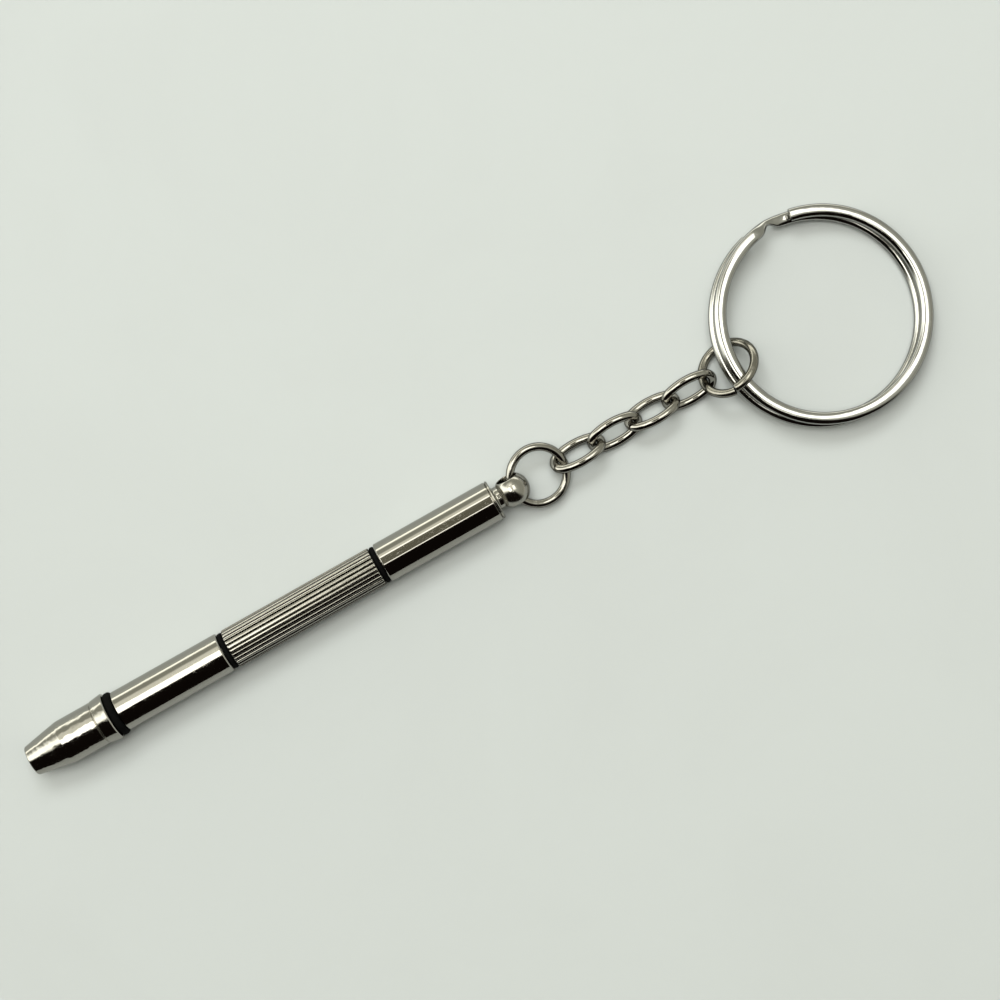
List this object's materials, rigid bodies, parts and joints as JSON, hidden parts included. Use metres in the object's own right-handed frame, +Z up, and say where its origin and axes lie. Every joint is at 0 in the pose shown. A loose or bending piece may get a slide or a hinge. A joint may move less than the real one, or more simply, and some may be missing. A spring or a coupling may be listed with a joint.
{
  "type": "pocket screwdriver",
  "caption": "Pocket screwdriver on a key chain: a hex socket nose and screw-off barrels over hidden slotted and cross bits, a fluted grip, a link chain and a split ring.",
  "frame": {"origin": "on the surface it rests on, under the middle of its length, on the tool's centre line seen from above", "axes": "+X along the tool from the nose to the split ring, +Z up; the tool's own axis leans down towards +X by 0.55 degrees because it lies on its collar"},
  "size_m": [0.1284, 0.028, 0.0063],
  "materials": {
    "polished_nickel": "polished nickel plate with fine handling scratches",
    "satin_nickel": "satin nickel plate, fluted on the grip",
    "chain_nickel": "bright nickel-plated wire",
    "ring_steel": "polished spring steel, nickel plated",
    "tool_steel": "hardened steel, ground",
    "black_rubber": "matt black"
  },
  "bodies": {
    "rear_barrel": {"rear_barrel": "satin_nickel", "ball_stud": "satin_nickel"},
    "rear_o_ring": {"rear_o_ring": "black_rubber"},
    "grip": {"grip": "satin_nickel", "slotted_bit": "tool_steel", "phillips_bit": "tool_steel"},
    "front_o_ring": {"front_o_ring": "black_rubber"},
    "front_barrel": {"front_barrel": "polished_nickel"},
    "nose_o_ring": {"nose_o_ring": "black_rubber"},
    "nose": {"nose": "polished_nickel"},
    "jump_ring": {"jump_ring": "chain_nickel"},
    "chain_link_1": {"chain_link_1": "chain_nickel"},
    "chain_link_2": {"chain_link_2": "chain_nickel"},
    "chain_link_3": {"chain_link_3": "chain_nickel"},
    "chain_link_4": {"chain_link_4": "chain_nickel"},
    "end_ring": {"end_ring": "chain_nickel"},
    "split_ring": {"split_ring": "ring_steel"}
  },
  "joints": [
    {"name": "grip_travel", "type": "slide", "parent": "rear_barrel", "child": "rear_o_ring", "axis": [-1, 0, 0.0095], "range_m": [0, 0.015]},
    {"name": "grip_turn", "type": "hinge", "parent": "rear_o_ring", "child": "grip", "pos_m": [-0.01364, 0, 0.0028], "axis": [-1, 0, 0.0095], "range_deg": [0, 9000]},
    {"name": "front_barrel_turn", "type": "hinge", "parent": "grip", "child": "front_o_ring", "pos_m": [-0.03636, 0, 0.00302], "axis": [-1, 0, 0.0095], "range_deg": [0, 9000]},
    {"name": "front_barrel_travel", "type": "slide", "parent": "front_o_ring", "child": "front_barrel", "axis": [-1, 0, 0.0095], "range_m": [0, 0.015]},
    {"name": "nose_turn", "type": "hinge", "parent": "front_barrel", "child": "nose_o_ring", "pos_m": [-0.05262, 0, 0.00317], "axis": [-1, 0, 0.0095], "range_deg": [0, 2880]},
    {"name": "nose_travel", "type": "slide", "parent": "nose_o_ring", "child": "nose", "axis": [-1, 0, 0.0095], "range_m": [0, 0.0048]},
    {"name": "jump_ring_swing", "type": "hinge", "parent": "rear_barrel", "child": "jump_ring", "pos_m": [0.00521, 0, 0.00262], "axis": [-0.0023, -0.9703, -0.2419], "range_deg": [-100, 100]},
    {"name": "chain_link_1_swing", "type": "hinge", "parent": "jump_ring", "child": "chain_link_1", "pos_m": [0.00896, 0, 0.00225], "axis": [0.0978, -0.2419, 0.9654], "range_deg": [-60, 60]},
    {"name": "chain_link_2_swing", "type": "hinge", "parent": "chain_link_1", "child": "chain_link_2", "pos_m": [0.01651, 0, 0.00188], "axis": [0, 0.7193, 0.6947], "range_deg": [-50, 50]},
    {"name": "chain_link_3_swing", "type": "hinge", "parent": "chain_link_2", "child": "chain_link_3", "pos_m": [0.0219, 0, 0.00188], "axis": [0, -0.7193, 0.6947], "range_deg": [-50, 50]},
    {"name": "chain_link_4_swing", "type": "hinge", "parent": "chain_link_3", "child": "chain_link_4", "pos_m": [0.0273, 0, 0.00188], "axis": [0, 0.7193, 0.6947], "range_deg": [-50, 50]},
    {"name": "end_ring_swing", "type": "hinge", "parent": "chain_link_4", "child": "end_ring", "pos_m": [0.03269, 0, 0.00188], "axis": [0, -0.7193, 0.6947], "range_deg": [-50, 50]},
    {"name": "split_ring_swing", "type": "hinge", "parent": "end_ring", "child": "split_ring", "pos_m": [0.03708, 0, 0.00321], "axis": [0, -1, 0], "range_deg": [-90, 90]}
  ],
  "couplings": [
    {"joint": "grip_turn", "follows": "grip_travel", "rad_per_m": 10472},
    {"joint": "front_barrel_turn", "follows": "front_barrel_travel", "rad_per_m": 10472},
    {"joint": "nose_turn", "follows": "nose_travel", "rad_per_m": 10472}
  ]
}
